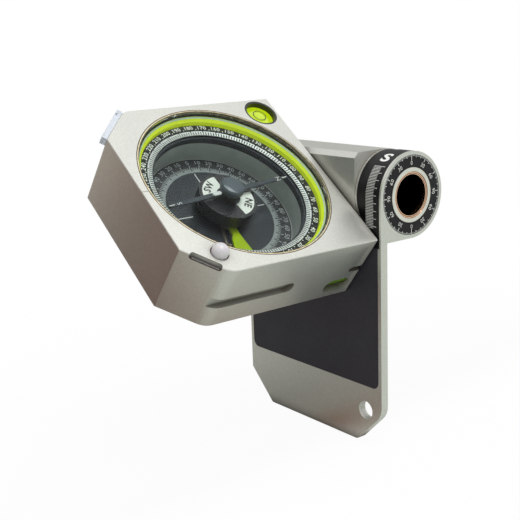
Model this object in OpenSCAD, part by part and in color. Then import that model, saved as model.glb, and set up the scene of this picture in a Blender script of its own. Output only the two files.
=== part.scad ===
// Geological compass with a hollow hinge: a measuring plate, a cross beam and a case
// that swivels on the beam. X runs along the hollow hinge, Y along the swivel axis,
// Z is up, and the two axes cross at the origin. The plate hangs down, square to the case.

/* [Case] */
// Width of the case, along the hinge
case_w = 80; // [76:0.5:90]
// Length of the case, away from the hinge
case_l = 80; // [78:0.5:90]
// Cut off the two corners away from the hinge
corner_cut = 13.3; // [11:0.1:14]
// Rounding where a cut corner meets the side
cut_round = 8; // [4:0.5:10]
// Rounding of the other upright edges
edge_round = 0.6; // [0.4:0.1:2]
// Broken edge round the top and the bottom
edge_break = 0.25; // [0.15:0.05:0.8]
// How far the case is rolled on its swivel, in degrees
case_roll = 38; // [-90:1:90]
// Depth of the case below the hinge axis
case_bottom = 16.1; // [15.5:0.1:16.2]
// Thickness of the cover under the case
cover_t = 1.6; // [1.2:0.1:1.8]
// Rim of the case round that cover
cover_rim = 3; // [2.5:0.1:4]

/* [Plate] */
// Thickness of the measuring plate
plate_t = 3.4; // [3:0.1:4]
// Corner hole that takes the lock pin when the plate is shut
plate_hole_r = 3.7; // [3.4:0.05:4]
// Rounding of the plate's lower corners on the right
plate_round = 3; // [1:0.5:5]
// Rounding of the plate's lower corners on the left
plate_round_left = 1.5; // [0.5:0.5:5]
// Depth of the bed for the black facing
facing_t = 0.3; // [0.2:0.05:0.5]
// Length of the facing below the hinge axis
facing_drop = 73.5; // [60:0.5:80]
// Bare edge beside the facing
facing_edge = 1.6; // [1:0.1:4]

/* [Hinge] */
// Radius of the hinge barrel, half the closed thickness
hinge_r = 16.4; // [16:0.1:17]
// Bore of the hollow hinge
bore_r = 7.8; // [6:0.1:8]
// Wall of the copper tube that lines the bore
tube_wall = 1; // [0.8:0.1:1.2]
// Width of each ear of the plate
ear_w = 7.9; // [6:0.1:10]
// Width of each plain black collar
collar_w = 4.4; // [3:0.1:5]
// Thickness of each bright washer
washer_t = 0.6; // [0.4:0.1:1]
// Play between turning faces
play = 0.2; // [0.1:0.05:0.3]
// Play between a shaft and its hole, on the radius
fit = 0.05; // [0.02:0.01:0.08]
// Thickness of the graduated band round each ear
band_t = 0.7; // [0.5:0.1:1]
// Bright rim left outside the band
band_rim = 0.8; // [0.6:0.1:1.5]
// Outer radius of the ring nut
nut_r = 10.3; // [9.8:0.1:11]
// Outer radius of the end dial
dial_r = 15; // [14:0.1:15.8]
// Thickness of the end dial
dial_t = 0.6; // [0.4:0.1:1]
// Cut off the two square corners of the beam
beam_cut = 2; // [1.5:0.1:3]
// Gap between the beam and the case
swivel_gap = 0.5; // [0.4:0.1:0.8]
// Radius of the swivel stud
stud_r = 5; // [4:0.1:6]
// Radius of the swivel stud's head
head_r = 7.6; // [6.5:0.1:8]

/* [Dial] */
// Wall left between the bezel and the nearest sides of the case
dial_margin = 2.8; // [2.6:0.1:3.2]
// Width of the bezel
bezel_w = 0.9; // [0.7:0.1:1.2]
// Thickness of the glass
glass_t = 1.4; // [1:0.1:1.8]
// Width of the green ring with the bezel over it
green_w = 2.6; // [2.4:0.1:2.8]
// Width of the numbered step of the azimuth ring
figures_w = 2.9; // [2.2:0.1:3.2]
// Width of its lower step with the degree ticks
ticks_w = 2; // [1.5:0.1:2.4]
// Step inwards from the azimuth ring to the wall of the capsule
capsule_step = 0.8; // [0.5:0.1:1]
// Radius of the black hub
hub_r = 11.4; // [10:0.1:13]
// Gap between the needle's ends and the wall of the capsule
needle_gap = 0.3; // [0.2:0.1:4]
// Where the needle's north end points, from the hinge, in degrees
needle_turn = 5.3; // [0:0.1:360]
// Where the slope pointer hangs, from the side of the case, in degrees
pointer_turn = -7; // [-180:1:180]
// Lead of the pendulum's weight over its pointer, in degrees
weight_lead = 10; // [0:0.5:30]
// Reach of the slope pointer
pointer_reach = 23.8; // [20:0.1:26]
// Radius of the needle's cap
cap_r = 4.6; // [3.5:0.1:5.5]
// Radius of the pivot post
post_r = 0.85; // [0.7:0.05:1]

/* [Fittings] */
// Lock pin, in from the side of the case
pin_side = 8.7; // [8.4:0.1:10]
// Lock pin, in from the front of the case
pin_front = 13.4; // [12:0.1:13.8]
// Radius of the lock pin's white button
pin_r = 3; // [2.6:0.1:3.1]
// Gap round the lock pin's button
pin_gap = 0.35; // [0.1:0.05:0.4]
// Travel of the lock pin
pin_travel = 1.2; // [0.8:0.1:1.2]
// Round level, in from the side of the case
level_side = 7.9; // [7.8:0.1:8.4]
// Round level, in from the hinge end of the case
level_back = 8; // [7.8:0.1:8.4]
// Radius of the round level
level_r = 6.8; // [6:0.1:6.8]
// Radius of the tube level
vial_r = 3.1; // [2.6:0.1:3.2]
// Length of the side window over the tube level
window_l = 12.3; // [10:0.1:13]
// Height of that window
window_h = 6.4; // [4:0.1:6.6]
// Height of the grip slots along the sides
slot_h = 4.6; // [3:0.1:5]
// Depth of the grip slots
slot_d = 2.2; // [1:0.1:2.6]
// Width of the clear strip on the left cut corner
strip_w = 2.1; // [1:0.1:3]
// Height of the clear strip
strip_h = 3; // [2:0.1:5]

/* [Hidden] */
$fn = 96;
over = 1;

// Widths along the hinge, from the middle outwards
ear_out = case_w / 2;
ear_in = ear_out - ear_w;
collar_out = ear_in - play;
collar_in = collar_out - collar_w;
washer_out = collar_in - play / 2;
washer_in = washer_out - washer_t;
beam_end = washer_in - play;
tube_r = bore_r + tube_wall;
nut_t = 1.8;

// Radii of the dial, from the bezel inwards
bezel_r = min(case_w, case_l) / 2 - dial_margin;
green_r = bezel_r - green_w;
figures_r = green_r - figures_w;
azimuth_r = figures_r - ticks_w;
capsule_r = azimuth_r - capsule_step;
needle_half = capsule_r - needle_gap;
cavity_r = bezel_r - bezel_w + 0.1;
ledge_r = cavity_r - 3.4;

// Heights in the case, above the hinge axis
shut_play = 0.2;
case_top = hinge_r - plate_t - shut_play;
case_back = hinge_r + swivel_gap;
case_front = case_back + case_l;
mid_y = -(case_back + case_l / 2);
glass_top = case_top - 0.4;
glass_bottom = glass_top - glass_t;
gasket_t = 0.6;
seat_z = glass_bottom - gasket_t;
green_drop = 3.3;
green_slope = 1.6;
ring_top = seat_z - green_drop;
ring_t = 1.5;
tick_drop = 0.5;
capsule_top = ring_top - ring_t - fit;
capsule_floor = -8;
floor_t = 2;
dial_top = capsule_floor + floor_t + 1;
cover_top = -case_bottom + cover_t;
hub_top = 3.5;
hub_lid = 1.2;
hub_skirt = -1.6;
boss_r = 2.6;
sleeve_r = 1.35;
needle_z = capsule_top + 0.1;
needle_t = 0.5;
post_top = needle_z + 2.2;

// Lock pin, lever and lift sleeve
pin_x = case_w / 2 - pin_side;
pin_y = -case_l / 2 + pin_front;
pin_turn = atan2(pin_y, pin_x);
pin_at = norm([pin_x, pin_y]);
stem_r = 1.5;
spring_seat = 4;
button_base = case_top - 3;
lever_t = 1.6;
lever_top = -9.6;
lever_mid = lever_top - lever_t / 2;
lever_w = 4;
pivot_at = 21;
sleeve_travel = pin_travel * pivot_at / (pin_at - pivot_at);
sleeve_top = needle_z - sleeve_travel - 0.05;
sleeve_foot = lever_top + 0.15;

// Cut corners of the case, at the middle of each cut
cut_half = corner_cut / sqrt(2);
cut_mid = [-(case_w - corner_cut) / 2, -(case_l - corner_cut) / 2];

// Arc of points that rounds the corner b between a and c
function round_corner(a, b, c, r, steps) =
    let (
        u = (a - b) / norm(a - b),
        v = (c - b) / norm(c - b),
        half = acos(u * v) / 2,
        back = r / tan(half),
        middle = b + (u + v) / norm(u + v) * r / sin(half),
        from = b + u * back - middle,
        to = b + v * back - middle,
        start = atan2(from[1], from[0]),
        turn = atan2(to[1], to[0]) - start,
        sweep = turn > 180 ? turn - 360 : turn < -180 ? turn + 360 : turn
    )
    [for (i = [0:steps]) middle + r * [cos(start + sweep * i / steps), sin(start + sweep * i / steps)]];

// Outline of the case, drawn in by some distance all round
function case_outline(inset, grow = 0) =
    let (
        x = case_w / 2 - inset,
        y = case_l / 2 - inset,
        cut = corner_cut - inset * (2 - sqrt(2)),
        p = [[x, y], [-x, y], [-x, -y + cut], [-x + cut, -y], [x - cut, -y], [x, -y + cut]],
        r = [edge_round, edge_round, cut_round, edge_round, edge_round, cut_round]
    )
    [for (i = [0:5]) each round_corner(p[(i + 5) % 6], p[i], p[(i + 1) % 6], r[i] + grow, 5)];

// Moves a level model of the case to its place and roll
module in_case() {
    rotate([0, case_roll, 0]) translate([0, mid_y, 0]) children();
}

module ring(r_out, r_in, z_low, z_high) {
    translate([0, 0, z_low]) difference() {
        cylinder(r = r_out, h = z_high - z_low);
        translate([0, 0, -over]) cylinder(r = r_in, h = z_high - z_low + 2 * over);
    }
}

module disc(r, z_low, z_high) {
    translate([0, 0, z_low]) cylinder(r = r, h = z_high - z_low);
}

// A ring that lies along the hinge, from x_low to x_high
module hinge_ring(r_out, r_in, x_low, x_high) {
    rotate([0, 90, 0]) ring(r_out, r_in, x_low, x_high);
}

module hinge_disc(r, x_low, x_high) {
    rotate([0, 90, 0]) disc(r, x_low, x_high);
}

module on_both_sides() {
    children();
    mirror([1, 0, 0]) children();
}

// Measuring plate with its two ears
plate_top = sqrt(pow(norm([hinge_r, hinge_r - beam_cut]) + 0.5, 2) - pow(hinge_r - plate_t, 2));
hole_x = pin_x;
hole_z = -case_front + pin_front;

module plate_outline(low, side) {
    p = [[-side, 0], [-side, -low + corner_cut], [-side + corner_cut, -low],
         [side - corner_cut, -low], [side, -low + corner_cut], [side, 0]];
    polygon([
        p[0],
        each round_corner(p[0], p[1], p[2], plate_round_left, 5),
        each round_corner(p[1], p[2], p[3], plate_round_left, 5),
        each round_corner(p[2], p[3], p[4], plate_round, 5),
        each round_corner(p[3], p[4], p[5], cut_round, 5),
        p[5]
    ]);
}

// The facing runs up to the plate's top edge, and its bed runs out through that edge
module facing_outline(shrink, run_out = 0) {
    side = case_w / 2 - facing_edge - shrink;
    corner = 3 - shrink;
    top = plate_top + shrink - run_out;
    low = facing_drop - shrink;
    p = [[-side, -top], [-side, -low], [side, -low], [side, -top]];
    polygon([
        p[0],
        each round_corner(p[0], p[1], p[2], corner, 5),
        each round_corner(p[1], p[2], p[3], corner, 5),
        p[3]
    ]);
}

// Stands an outline drawn in X and Z upright, between two depths
module upright(y_low, y_high) {
    translate([0, y_high, 0]) rotate([90, 0, 0]) linear_extrude(height = y_high - y_low) children();
}

module ear() {
    difference() {
        union() {
            hinge_disc(hinge_r - band_t, ear_in, ear_out);
            hinge_disc(hinge_r, ear_out - band_rim, ear_out);
            translate([ear_in, -hinge_r, -hinge_r]) cube([ear_w, hinge_r, hinge_r]);
        }
        band_front(0, over);
        hinge_disc(tube_r + fit, ear_in - over, ear_out + over);
        hinge_disc(dial_r + 0.05, ear_out - dial_t - 0.1, ear_out + over);
        hinge_disc(nut_r + 0.1, ear_out - nut_t - 0.1, ear_out + over);
    }
}

module plate() {
    color([0.66, 0.66, 0.63]) {
        difference() {
            upright(-hinge_r, -hinge_r + plate_t) plate_outline(case_front, case_w / 2);
            translate([-ear_in, -hinge_r - over, -plate_top])
                cube([2 * ear_in, plate_t + 2 * over, plate_top + over]);
            for (side = [-1, 1])
                translate([side > 0 ? ear_in - over : -ear_out - over, -hinge_r - over, -hinge_r])
                    cube([ear_w + 2 * over, plate_t + 2 * over, hinge_r + over]);
            on_both_sides() band_front(0, over);
            upright(-hinge_r - over, -hinge_r + facing_t) facing_outline(0, over);
            translate([hole_x, 0, hole_z]) rotate([90, 0, 0]) cylinder(r = plate_hole_r, h = 2 * hinge_r);
        }
        on_both_sides() ear();
    }
}

module plate_facing() {
    color([0.13, 0.13, 0.15]) upright(-hinge_r + 0.02, -hinge_r + facing_t) facing_outline(0.05);
}

// Flat front of the graduated band, or its bed when drawn wider by the given margins
module band_front(clear, margin) {
    translate([ear_in - margin, -hinge_r - margin, -plate_top + clear])
        cube([ear_w - band_rim + margin - clear, band_t + margin - clear, plate_top - clear]);
}

// Graduated band round the ear, from the foot of the plate's ears over the top to the back
module band() {
    color([0.12, 0.12, 0.14]) {
        rotate([0, 90, 0]) translate([0, 0, ear_in]) rotate_extrude(angle = 270, start = 0)
            translate([hinge_r - band_t + 0.02, 0]) square([band_t - 0.02, ear_w - band_rim - 0.02]);
        band_front(0.02, 0);
    }
}

module band_right() { band(); }
module band_left() { mirror([1, 0, 0]) band(); }

module end_dial() {
    color([0.12, 0.12, 0.14]) hinge_ring(dial_r, nut_r + 0.1, ear_out - dial_t - 0.1, ear_out - 0.1);
}

module end_dial_right() { end_dial(); }
module end_dial_left() { mirror([1, 0, 0]) end_dial(); }

// Cross beam between the ears, round behind and flat towards the case
stud_depth = hinge_r - tube_r - 1.6;

module beam_profile() {
    intersection() {
        union() {
            circle(r = hinge_r);
            translate([-hinge_r, -hinge_r]) square([hinge_r, 2 * hinge_r]);
        }
        polygon([
            [-hinge_r, -hinge_r + beam_cut], [-hinge_r + beam_cut, -hinge_r], [hinge_r, -hinge_r],
            [hinge_r, hinge_r], [-hinge_r + beam_cut, hinge_r], [-hinge_r, hinge_r - beam_cut]
        ]);
    }
}

module hinge_beam() {
    color([0.68, 0.68, 0.65]) difference() {
        rotate([90, 0, 90]) translate([0, 0, -beam_end]) linear_extrude(height = 2 * beam_end) beam_profile();
        hinge_disc(tube_r + 0.02, -beam_end - over, beam_end + over);
        translate([0, -hinge_r + stud_depth, 0]) rotate([90, 0, 0])
            cylinder(r = stud_r, h = stud_depth + over);
    }
}

module hollow_shaft() {
    color([0.80, 0.54, 0.38]) difference() {
        hinge_disc(tube_r, -ear_out + 0.3, ear_out - 0.3);
        hinge_disc(bore_r, -ear_out - over, ear_out + over);
    }
}

module ring_nut() {
    color([0.80, 0.80, 0.77]) hinge_ring(nut_r, tube_r + 0.02, ear_out - nut_t, ear_out);
}

module ring_nut_right() { ring_nut(); }
module ring_nut_left() { mirror([1, 0, 0]) ring_nut(); }

module collar() {
    color([0.11, 0.11, 0.12]) hinge_ring(hinge_r - 0.2, tube_r + 0.02, collar_in, collar_out);
}

module collar_right() { collar(); }
module collar_left() { mirror([1, 0, 0]) collar(); }

module washer() {
    color([0.82, 0.82, 0.78]) hinge_ring(hinge_r, tube_r + 0.02, washer_in, washer_out);
}

module washer_right() { washer(); }
module washer_left() { mirror([1, 0, 0]) washer(); }

// Stud that the case swivels on: its head is inside the case, its shank is fixed in the beam
head_t = 1.4;
swivel_washer_r = 9;
wall_in = case_l / 2 - cavity_r;
head_out = case_back + wall_in - 0.1;

module swivel_stud() {
    color([0.75, 0.75, 0.74]) difference() {
        union() {
            translate([0, -hinge_r + stud_depth, 0]) rotate([90, 0, 0])
                cylinder(r = stud_r - 0.02, h = head_out - hinge_r + stud_depth);
            translate([0, -head_out + head_t, 0]) rotate([90, 0, 0]) cylinder(r = head_r, h = head_t);
        }
        translate([0, -head_out + 0.9, 0]) rotate([90, 30, 0]) cylinder(r = 3, h = 2, $fn = 6);
    }
}

module swivel_washer() {
    color([0.30, 0.30, 0.31]) translate([0, -hinge_r - 0.05, 0]) rotate([90, 0, 0]) difference() {
        cylinder(r = swivel_washer_r, h = swivel_gap - 0.1);
        translate([0, 0, -over]) cylinder(r = stud_r + 0.1, h = swivel_gap + 2 * over);
    }
}

// Case
cover_inset = cover_rim;
level_x = -case_w / 2 + level_side;
level_y = case_l / 2 - level_back;
level_depth = 6;
level_floor = case_top - level_depth;
cup_wall = 0.8;
dome_r = 15.4;
dome_rise = 0.8;
dome_foot = case_top - 2.2;
vial_side = 4.8;
vial_l = 16.4;
vial_x = case_w / 2 - vial_side;
vial_z = -10.1;
vial_near = case_l / 2 - vial_l;
vial_hole_r = vial_r + 0.4;
plug_l = 2;
window_y = case_l / 2 - 8.6;
window_d = case_w / 2 - vial_x + 1.2;
recess_l = 5;
recess_z = -2.2;
recess_h = 2.6;
recess_d = 2.4;
slot_z = -4.1;
slot_near = -case_l / 2 + 6;
slot_end = 7.6 - slot_h / 2;
thumb_r = 1.3;
thumb_from = -4.5;
thumb_to = 4.7;

module case_block() {
    hull() {
        translate([0, 0, -case_bottom]) linear_extrude(height = 0.01) polygon(case_outline(edge_break));
        translate([0, 0, -case_bottom + edge_break])
            linear_extrude(height = case_top + case_bottom - 2 * edge_break) polygon(case_outline(0));
        translate([0, 0, case_top - 0.01]) linear_extrude(height = 0.01) polygon(case_outline(edge_break));
    }
}

// Slot with round ends in a side wall, along Y from y_low to y_high
module side_slot(y_low, y_high, z_mid, height, depth) {
    for (y = [y_low, y_high])
        translate([case_w / 2 - depth, y, z_mid]) rotate([0, 90, 0])
            cylinder(r = height / 2, h = depth + over);
    translate([case_w / 2 - depth, y_low, z_mid - height / 2]) cube([depth + over, y_high - y_low, height]);
}

module at_right_cut() {
    translate([-cut_mid[0], cut_mid[1], 0]) rotate([0, 0, -45]) children();
}

module at_left_cut() {
    translate([cut_mid[0], cut_mid[1], 0]) rotate([0, 0, -135]) children();
}

// Corner screws of the base cover, where the case wall is thick enough
screw_side = 13;
screw_back = 6.2;
screw_front = 8.6;
screw_edge = 6.4;
screw_past_pin = 6.1;
screw_at = [
    [case_w / 2 - screw_side, case_l / 2 - screw_back], [-case_w / 2 + screw_side, case_l / 2 - screw_back],
    [-case_w / 2 + screw_side, -case_l / 2 + screw_front], [case_w / 2 - screw_edge, pin_y + screw_past_pin]
];

module lever_room() {
    rotate([0, 0, pin_turn]) translate([0, -lever_w / 2 - 0.8, cover_top - 0.1])
        cube([pin_at + 3.2, lever_w + 1.6, capsule_floor - cover_top + 0.1]);
}

module case() {
    color([0.85, 0.85, 0.82]) in_case() difference() {
        case_block();
        disc(bezel_r + 0.02, seat_z, case_top + over);
        disc(cavity_r, capsule_floor, case_top + over);
        disc(ledge_r, -case_bottom - over, capsule_floor + over);
        translate([0, 0, -case_bottom - over]) linear_extrude(height = over + cover_t)
            polygon(case_outline(cover_inset));
        lever_room();
        translate([level_x, level_y, level_floor]) cylinder(r = level_r + 0.05, h = 20);
        translate([pin_x, pin_y, spring_seat]) cylinder(r = pin_r + pin_gap, h = 20);
        translate([pin_x, pin_y, capsule_floor - over]) cylinder(r = stem_r + fit, h = 20);
        translate([0, case_l / 2 + over, 0]) rotate([90, 0, 0])
            cylinder(r = stud_r + 0.03, h = wall_in + 2 * over);
        translate([0, case_l / 2 - wall_in + head_t + 0.2, 0]) rotate([90, 0, 0])
            cylinder(r = head_r + 0.1, h = 6);
        translate([vial_x, case_l / 2 + over, vial_z]) rotate([90, 0, 0])
            cylinder(r = vial_hole_r, h = case_l / 2 + over - vial_near);
        side_slot(window_y - window_l / 2 + window_h / 2, window_y + window_l / 2 - window_h / 2, vial_z,
            window_h, window_d);
        side_slot(case_l / 2 - recess_l, case_l / 2 + recess_h, recess_z, recess_h, recess_d);
        on_both_sides() side_slot(slot_near, slot_end, slot_z, slot_h, slot_d);
        at_right_cut() translate([-0.4, 0, case_top - 0.7]) rotate([90, 0, 0]) {
            translate([0, 0, -thumb_to]) cylinder(r = thumb_r, h = thumb_to - thumb_from);
            translate([0, 0, -thumb_to]) sphere(r = thumb_r);
            translate([0, 0, -thumb_from]) sphere(r = thumb_r);
        }
        for (p = screw_at) translate([p[0], p[1], cover_top - over]) cylinder(r = 0.9, h = 5.5 + over);
    }
}

module base_cover() {
    color([0.62, 0.62, 0.60]) in_case() difference() {
        translate([0, 0, -case_bottom]) linear_extrude(height = cover_t - 0.02)
            polygon(case_outline(cover_inset + 0.1));
        for (p = screw_at) translate([p[0], p[1], -case_bottom - over]) {
            cylinder(r = 1.1, h = cover_t + 2 * over);
            cylinder(r = 1.95, h = over + 0.9);
        }
    }
}

module cover_screws() {
    color([0.55, 0.55, 0.55]) in_case()
        for (p = screw_at) translate([p[0], p[1], -case_bottom]) difference() {
        union() {
            cylinder(r = 1.85, h = 0.85);
            cylinder(r = 0.88, h = 5.2);
        }
        translate([-0.25, -1.4, -over]) cube([0.5, 2.8, over + 0.4]);
    }
}

module bezel() {
    color([0.80, 0.72, 0.55]) in_case() ring(bezel_r - 0.02, bezel_r - bezel_w, seat_z, case_top);
}

module glass() {
    color([0.75, 0.85, 0.85, 0.35]) in_case() disc(bezel_r - bezel_w - 0.05, glass_bottom, glass_top);
}

module glass_gasket() {
    color([0.10, 0.14, 0.08]) in_case()
        ring(bezel_r - bezel_w - 0.05, bezel_r - bezel_w - 0.4, seat_z, glass_bottom);
}

// Sloping green ring under the glass
module green_ring() {
    color([0.72, 0.82, 0.05]) in_case() rotate_extrude() polygon([
        [cavity_r - 0.05, capsule_top], [cavity_r - 0.05, seat_z], [bezel_r - bezel_w - 0.3, seat_z],
        [green_r, seat_z - green_slope], [green_r, capsule_top]
    ]);
}

// Cup that holds the ring and the lower dial
module capsule() {
    color([0.42, 0.45, 0.44]) in_case() difference() {
        union() {
            ring(cavity_r - 0.05, capsule_r, capsule_floor, capsule_top);
            disc(cavity_r - 0.05, capsule_floor, capsule_floor + floor_t);
            rotate([0, 0, pin_turn]) for (side = [-1, 1])
                translate([pivot_at - 2, side * 2.8 - 0.6, lever_mid - 1.5])
                    cube([4, 1.2, capsule_floor - lever_mid + 1.6]);
        }
        disc(sleeve_r + 0.2, capsule_floor - over, capsule_floor + floor_t + over);
        disc(2.3, capsule_floor - over, capsule_floor + 0.6);
        rotate([0, 0, pin_turn]) translate([pivot_at, 6, lever_mid]) rotate([90, 0, 0])
            cylinder(r = 0.62, h = 12);
    }
}

module lower_dial() {
    color([0.16, 0.18, 0.21]) in_case()
        ring(capsule_r - 0.1, sleeve_r + 0.2, capsule_floor + floor_t, dial_top);
}

module hub() {
    color([0.09, 0.09, 0.10]) in_case() {
        ring(hub_r, sleeve_r + 0.15, hub_top - hub_lid, hub_top);
        ring(hub_r, hub_r - 1, hub_skirt, hub_top - hub_lid + 0.01);
        ring(boss_r, sleeve_r + 0.15, dial_top, hub_top - hub_lid + 0.01);
    }
}

module pivot_post() {
    color([0.78, 0.78, 0.80]) in_case() {
        disc(3.5, cover_top, cover_top + 1.2);
        disc(post_r, cover_top, post_top - 1.2);
        translate([0, 0, post_top - 1.2]) rotate_extrude()
            polygon([[0, 0], [post_r, 0], [0.06, 1.2], [0, 1.2]]);
    }
}

module level_cup() {
    color([0.08, 0.08, 0.08]) in_case() translate([level_x, level_y, 0]) {
        ring(level_r, level_r - cup_wall, level_floor, case_top - 0.1);
        disc(level_r, level_floor, level_floor + cup_wall);
    }
}

module level_vial() {
    color([0.70, 0.85, 0.05]) in_case() translate([level_x, level_y, 0]) {
        disc(level_r - cup_wall - 0.05, level_floor + cup_wall + 0.02, dome_foot);
        translate([0, 0, dome_foot]) intersection() {
            translate([0, 0, dome_rise - dome_r]) sphere(r = dome_r);
            cylinder(r = level_r - cup_wall - 0.05, h = 2 * dome_rise);
        }
    }
}

module tube_vial() {
    color([0.55, 0.80, 0.15]) in_case() translate([vial_x, vial_near + 0.1, vial_z]) rotate([-90, 0, 0])
        cylinder(r = vial_r, h = case_l / 2 - plug_l - 0.1 - vial_near - 0.1);
}

module tube_plug() {
    color([0.20, 0.20, 0.20]) in_case() translate([vial_x, case_l / 2 - plug_l, vial_z]) rotate([-90, 0, 0])
        difference() {
            cylinder(r = vial_hole_r - 0.05, h = plug_l - 0.1);
            translate([-2.4, -0.3, plug_l - 0.8]) cube([4.8, 0.6, 1]);
        }
}

// Clear strip cemented along the top of the left cut corner
module clear_strip() {
    top = case_top - edge_break;
    color([0.84, 0.90, 0.97]) in_case() at_left_cut() difference() {
        translate([0.02, -cut_half + 0.3, top - strip_h]) cube([strip_w, 2 * cut_half - 0.6, strip_h]);
        translate([strip_w - 0.9, -cut_half + 2.2, top - 1.2]) cube([2, 1.3, 2]);
    }
}

// Spring under the lock pin, one round wire swept along a helix
coil_r = 2.3;
wire_r = 0.28;
coil_turns = 5;
coil_steps = 16;
wire_sides = 6;
spring_low = spring_seat + wire_r;
spring_high = button_base - pin_travel - 0.1 - wire_r;
function coil_point(i) =
    let (t = i / coil_steps, rise = (spring_high - spring_low) / coil_turns)
    [coil_r * cos(360 * t), coil_r * sin(360 * t), spring_low + rise * t];
function wire_ring(i) =
    let (t = i / coil_steps)
    [for (k = [0:wire_sides - 1]) coil_point(i)
        + wire_r * cos(360 * k / wire_sides) * [cos(360 * t), sin(360 * t), 0]
        + wire_r * sin(360 * k / wire_sides) * [0, 0, 1]];

module pin_spring() {
    last = coil_turns * coil_steps;
    points = [for (i = [0:last]) each wire_ring(i)];
    sides = [for (i = [0:last - 1], k = [0:wire_sides - 1])
        let (a = i * wire_sides + k, b = i * wire_sides + (k + 1) % wire_sides)
            each [[a, b, b + wire_sides], [a, b + wire_sides, a + wire_sides]]];
    first_end = [for (k = [1:wire_sides - 2]) [0, k + 1, k]];
    far = last * wire_sides;
    last_end = [for (k = [1:wire_sides - 2]) [far, far + k, far + k + 1]];
    color([0.75, 0.75, 0.75]) in_case() translate([pin_x, pin_y, 0])
        polyhedron(points = points, faces = concat(sides, first_end, last_end));
}

module lever_pin() {
    color([0.70, 0.70, 0.70]) in_case() rotate([0, 0, pin_turn]) translate([pivot_at, 3.4, lever_mid])
        rotate([90, 0, 0]) cylinder(r = 0.6, h = 6.8);
}

// Azimuth ring: a numbered step and a lower step with the degree ticks
module azimuth_ring() {
    color([0.13, 0.13, 0.14]) in_case() rotate_extrude() polygon([
        [azimuth_r, ring_top - ring_t], [green_r - 0.08, ring_top - ring_t], [green_r - 0.08, ring_top],
        [figures_r, ring_top], [figures_r, ring_top - tick_drop], [azimuth_r, ring_top - tick_drop - 0.3]
    ]);
}

// Weighted ring that hangs under the hub and carries the slope pointer
pendulum_low = dial_top + 0.4;
pendulum_t = 1.4;
pendulum_eye = 5;
weight_r = 9.3;
weight_angle = 70;
loop_r = 1.7;
loop_wire = 0.8;
loop_reach = 16.2;
loop_turn = -13.5;
pointer_t = 0.8;
pointer_foot = 7.1;
pointer_neck = 13;
pointer_half = 1.2;

module pendulum() {
    color([0.35, 0.33, 0.30]) in_case() rotate([0, 0, pointer_turn]) {
        ring(pendulum_eye, boss_r + 0.08, pendulum_low, pendulum_low + pendulum_t);
        pendulum_loop();
        difference() {
            translate([0, 0, pendulum_low]) rotate([0, 0, weight_lead - weight_angle / 2])
                rotate_extrude(angle = weight_angle)
                    translate([pendulum_eye - 0.5, 0]) square([weight_r - pendulum_eye + 0.5, pendulum_t]);
            translate([pointer_foot - 0.1, -pointer_half - 0.1, pendulum_low + pendulum_t - pointer_t])
                cube([weight_r, 2 * pointer_half + 0.2, 2 * pointer_t]);
        }
    }
}

// Flat loop that the pendulum carries beside its pointer
module pendulum_loop() {
    rotate([0, 0, loop_turn]) translate([0, 0, pendulum_low]) difference() {
        hull() for (r = [weight_r + 0.2, loop_reach]) translate([r, 0, 0]) cylinder(r = loop_r, h = 0.5);
        translate([0, 0, -over]) hull() for (r = [weight_r + 1.2, loop_reach])
            translate([r, 0, 0]) cylinder(r = loop_r - loop_wire, h = 3);
    }
}

module slope_pointer() {
    color([0.62, 0.80, 0.08]) in_case() rotate([0, 0, pointer_turn])
        translate([0, 0, pendulum_low + pendulum_t - pointer_t]) linear_extrude(height = pointer_t) polygon([
            [pointer_foot, -pointer_half], [pointer_neck, -pointer_half - 0.2], [pointer_neck + 2, -2.6],
            [pointer_reach - 1, -4.3], [pointer_reach, 0], [pointer_reach - 1, 3.4],
            [pointer_neck + 0.5, pointer_half + 0.4], [pointer_foot, pointer_half]
        ]);
}

module needle() {
    color([0.36, 0.40, 0.44]) in_case() rotate([0, 0, needle_turn]) difference() {
        translate([0, 0, needle_z]) linear_extrude(height = needle_t) polygon([
            [0, needle_half], [-0.75, needle_half - 1.6], [-1.1, 0], [-0.75, -needle_half + 0.8],
            [0, -needle_half], [0.75, -needle_half + 0.8], [1.1, 0], [0.75, needle_half - 1.6]
        ]);
        disc(0.95, needle_z - over, needle_z + 2);
    }
}

// Small weight on the needle's south half that keeps it level
module needle_clip() {
    color([0.85, 0.86, 0.88]) in_case() rotate([0, 0, needle_turn]) translate([0, 0, needle_z + needle_t])
        hull() for (r = [cap_r + 0.9, cap_r + 3.2]) translate([0, -r, 0]) cylinder(r = 0.75, h = 0.5);
}

module needle_cap() {
    color([0.30, 0.33, 0.38]) in_case() difference() {
        translate([0, 0, needle_z + needle_t]) rotate_extrude() polygon([
            [0, 0], [cap_r - 0.6, 0], [cap_r, 0.8], [cap_r, 2.2], [cap_r - 0.5, 2.9],
            [cap_r - 1.6, 3.2], [0, 3.4]
        ]);
        disc(1.2, needle_z, needle_z + needle_t + 2.4);
    }
}

module needle_jewel() {
    color([0.70, 0.10, 0.15]) in_case() translate([0, 0, needle_z + needle_t + 0.9]) difference() {
        cylinder(r = 1.18, h = 1.45);
        translate([0, 0, -over]) cylinder(r = 0.9, h = 0.75 + over);
    }
}

// White button on a stem: pressed by the shut plate, it lifts the needle brake
module lock_pin() {
    color([0.92, 0.92, 0.93]) in_case() translate([pin_x, pin_y, 0]) {
        disc(stem_r, lever_top + 0.1, button_base + 0.1);
        translate([0, 0, button_base]) rotate_extrude() polygon([
            [0, 0], [pin_r, 0], each [for (a = [0:10:90]) [pin_r * cos(a), 3.7 + pin_r * sin(a)]]
        ]);
    }
}

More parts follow.
